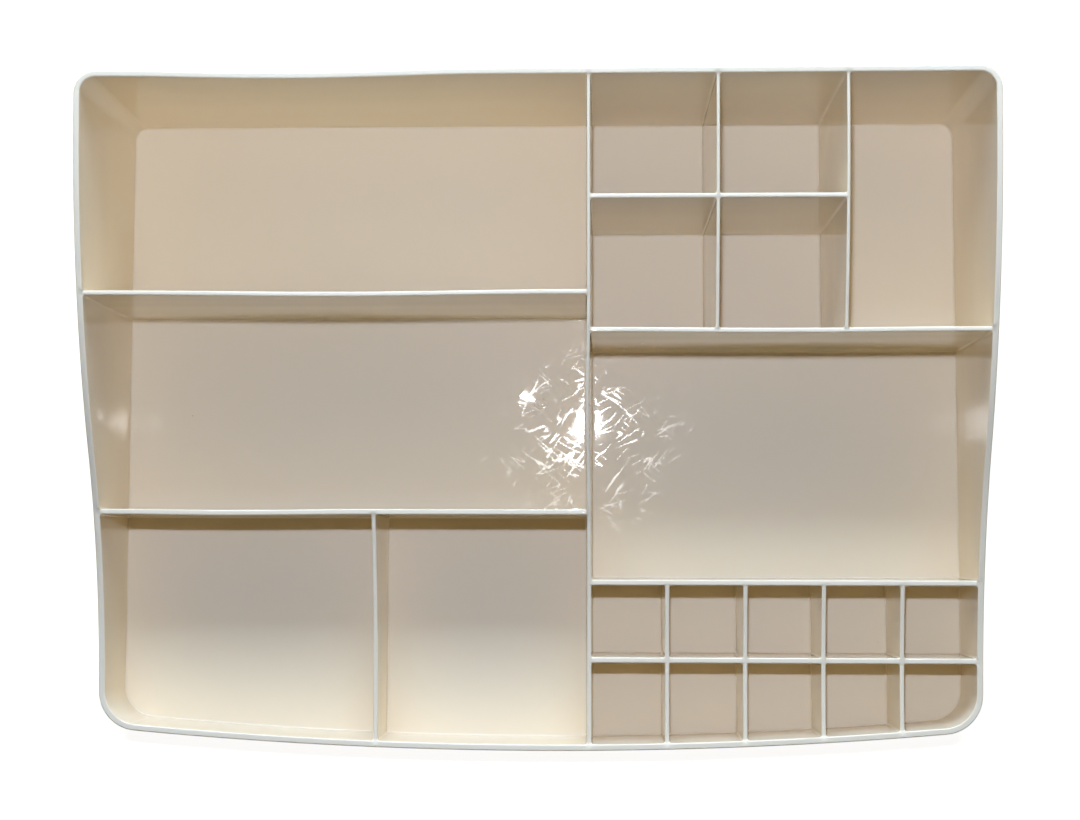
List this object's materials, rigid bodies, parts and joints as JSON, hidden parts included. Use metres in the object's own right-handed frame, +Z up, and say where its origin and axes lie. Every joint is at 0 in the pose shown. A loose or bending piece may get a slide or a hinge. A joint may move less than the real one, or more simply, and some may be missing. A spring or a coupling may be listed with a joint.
{
  "type": "desk organizer",
  "caption": "Free-standing desk tray in glossy ivory plastic: high back, side walls sweeping down to a low bowed front, and long, square, memo-sized and small compartments.",
  "frame": {"origin": "on the table surface, under the centre of the tray's bounding box", "axes": "+X to the user's right along the width, +Y from the low front to the high back, +Z up"},
  "size_m": [0.35, 0.26, 0.085],
  "materials": {
    "ivory_plastic": "glossy moulded ivory plastic with fine scuffs on the floors"
  },
  "bodies": {
    "root": {"floor_panel": "ivory_plastic", "back_wall": "ivory_plastic", "front_wall": "ivory_plastic", "left_wall": "ivory_plastic", "right_wall": "ivory_plastic", "centre_divider": "ivory_plastic", "back_tray_divider": "ivory_plastic", "front_tray_divider": "ivory_plastic", "short_divider": "ivory_plastic", "square_cell_rail": "ivory_plastic", "square_cell_divider": "ivory_plastic", "tall_slot_divider": "ivory_plastic", "memo_back_divider": "ivory_plastic", "memo_front_divider": "ivory_plastic", "small_cell_rail": "ivory_plastic", "small_cell_divider_1": "ivory_plastic", "small_cell_divider_2": "ivory_plastic", "small_cell_divider_3": "ivory_plastic", "small_cell_divider_4": "ivory_plastic"}
  },
  "joints": []
}
